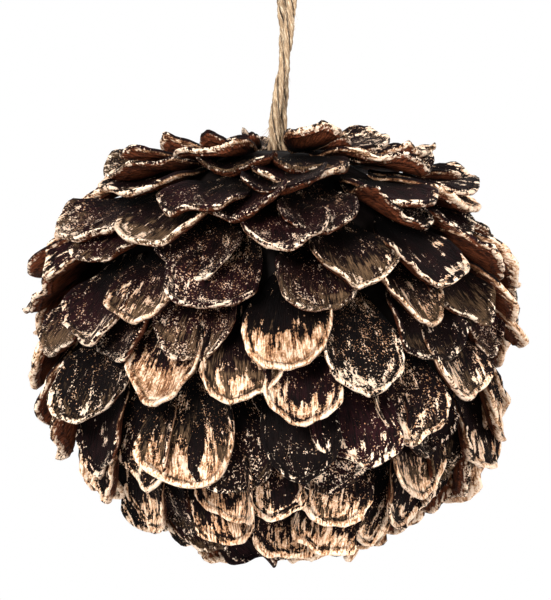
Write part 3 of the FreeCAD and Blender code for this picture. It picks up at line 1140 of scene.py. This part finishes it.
@dataclass(frozen=True)
class Studio:
    """A white sweep, soft lamps and a camera level with the ball, as in the picture."""

    view_height: float = 159.8
    distance: float = 900.0
    sensor: float = 24.0
    aim: tuple[float, float] = (0.1, -114.9)
    floor_drop: float = 330.0
    air_light: float = 0.045
    lamps: tuple[Lamp, ...] = (
        Lamp("key_lamp", (-0.4, -1.05, 0.3), 0.4, 25.0),
        Lamp("fill_lamp", (0.85, -0.85, -0.15), 0.5, 12.0),
        Lamp("top_lamp", (0.1, -0.1, 0.85), 0.4, 3.5),
        Lamp("low_lamp", (0.1, -0.9, -0.55), 0.5, 5.0),
    )

    def seen(self, tree: Tree, least: float) -> Socket:
        """Tells the rays that draw the picture from those that light it.

        Args:
            tree: The node tree that takes it.
            least: The value for the rays that only light.

        Returns:
            One for what the camera sees, also mirrored or through glass, else the least.
        """
        path = add_node(tree, "ShaderNodeLightPath")
        level: Socket | float = least
        for ray in ("Is Camera Ray", "Is Glossy Ray", "Is Transmission Ray"):
            inputs = {0: path.outputs[ray], 1: level}
            level = add_node(tree, "ShaderNodeMath", inputs, operation="MAXIMUM").outputs[0]
        return level

    def backdrop(self) -> None:
        """A floor and back wall in one bent sheet, seen by the camera as plain white."""
        material, tree = new_material("white_sweep")
        matt = add_node(tree, "ShaderNodeBsdfDiffuse", {"Color": linear("#f2f2f2")})
        white = add_node(tree, "ShaderNodeEmission", {"Color": linear("#ffffff"), "Strength": 1.0})
        inputs = {0: self.seen(tree, 0.0), 1: matt.outputs[0], 2: white.outputs[0]}
        mixed = add_node(tree, "ShaderNodeMixShader", inputs)
        add_node(tree, "ShaderNodeOutputMaterial", {"Surface": mixed.outputs[0]})

        turn = np.linspace(0, np.pi / 2, 13)
        bend = [(900 + 500 * np.sin(t), 500 - 500 * np.cos(t)) for t in turn]
        profile = [(-1600, 0), *bend, (1400, 2200)]
        points = np.array([(x, y, z - self.floor_drop) for y, z in profile for x in (-2000, 2000)])
        faces = [(2 * i, 2 * i + 1, 2 * i + 3, 2 * i + 2) for i in range(len(profile) - 1)]
        sweep = mesh_object("white_sweep", points, faces, material, rounded=False)

    def add_lamp(self, lamp: Lamp) -> None:
        """Adds a lamp that looks at the ball.

        Args:
            lamp: The lamp.
        """
        light = bpy.data.lights.new(lamp.name, "AREA")
        light.shape = "SQUARE"
        light.size = lamp.size
        light.energy = lamp.power
        holder = bpy.data.objects.new(lamp.name, light)
        holder.location = lamp.place
        aim = Vector((0.0, 0.0, self.aim[1] * MM)) - Vector(lamp.place)
        holder.rotation_euler = aim.to_track_quat("-Z", "Y").to_euler()
        bpy.context.scene.collection.objects.link(holder)

    def add_air(self) -> None:
        """Adds the world: white where it is seen, and only a little light from all sides."""
        world = bpy.data.worlds.new("studio_air")
        world.use_nodes = True
        air = world.node_tree.nodes["Background"]
        air.inputs["Color"].default_value = linear("#ffffff")
        strength = self.seen(world.node_tree, self.air_light)
        world.node_tree.links.new(strength, air.inputs["Strength"])
        bpy.context.scene.world = world

    def add_camera(self) -> None:
        """Adds the camera at the ball's height, as far off as the picture was taken."""
        lens = bpy.data.cameras.new("camera")
        lens.sensor_fit = "VERTICAL"
        lens.sensor_height = self.sensor
        lens.lens = self.sensor * self.distance / self.view_height
        camera = bpy.data.objects.new("camera", lens)
        camera.location = (self.aim[0] * MM, -self.distance * MM, self.aim[1] * MM)
        camera.rotation_euler = (np.pi / 2, 0.0, 0.0)
        bpy.context.scene.collection.objects.link(camera)
        bpy.context.scene.camera = camera

    def build(self) -> None:
        """Adds the backdrop, the lamps, the world and the camera."""
        self.backdrop()
        for lamp in self.lamps:
            self.add_lamp(lamp)
        self.add_air()
        self.add_camera()
        bpy.context.scene.view_settings.view_transform = "Standard"


def ring_table() -> tuple[Ring, ...]:
    """The rings from the crown down, with the counts and angles of their solids.

    Returns:
        Every ring.
    """
    crown = ScaleForm(length=14.0, width=12.6, root_width=5.0, dish_depth=1.6, tip_bend=0.7, rim_curl=0.6)
    first = ScaleForm(length=21.0, width=21.5, dish_depth=2.4, tip_bend=1.0)
    second = ScaleForm(length=25.5, width=21.5, dish_depth=2.8, tip_bend=1.2)
    third = ScaleForm(length=29.0, width=21.5)
    full = ScaleForm(length=31.0, width=21.5)
    bottom = ScaleForm(length=26.0, width=18.5)
    closing = ScaleForm(length=25.0, width=15.5)
    top = [
        Ring("crown_scales", 0, 6, 7.7, 38.0, crown, 14.0),
        Ring("scale_row_01", 1, 7, 13.2, 26.0, first, 9.0),
        Ring("scale_row_02", 2, 10, 21.2, 18.5, second, 3.5),
        Ring("scale_row_03", 3, 12, 29.6, 15.5, third, 1.0),
    ]
    first_seat, last_seat, lift = 38.0, 137.7, 12.4
    counts = (14, 15, 16, 17, 16, 15, 14, 14, 11, 8)
    pitch = (last_seat - first_seat) / (len(counts) - 1)
    forms = [full] * 7 + [bottom] * 3
    lower = [
        Ring(f"scale_row_{number:02d}", number, count, first_seat + (number - 4) * pitch, lift, form)
        for number, (count, form) in enumerate(zip(counts, forms), start=4)
    ]
    return (*top, *lower, Ring("closing_scales", 14, 4, 152.7, lift, closing))


def corners(box: tuple[Vector, Vector]) -> list[list[float]]:
    """A box as plain lists of numbers.

    Args:
        box: Its lowest and highest corners.

    Returns:
        The two corners.
    """
    return [[float(number) for number in corner] for corner in box]


def main() -> None:
    """Builds the scene in order."""
    logging.basicConfig(level=logging.INFO, format="%(message)s")
    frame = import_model()
    ScaleRings(Ball(), ring_table(), GildedScaleFinish().build()).build()
    Twine(JuteFinish().build()).build()
    for node, finish, slot in (
        ("foam_ball", PaintedFoamFinish().build(), "foam"),
        ("glue_plug", GlueFinish().build(), "glue"),
    ):
        solid = frame["nodes"][node]
        solid.data.materials.clear()
        solid.data.materials.append(finish)
    Studio().build()


if __name__ == "__main__":
    main()
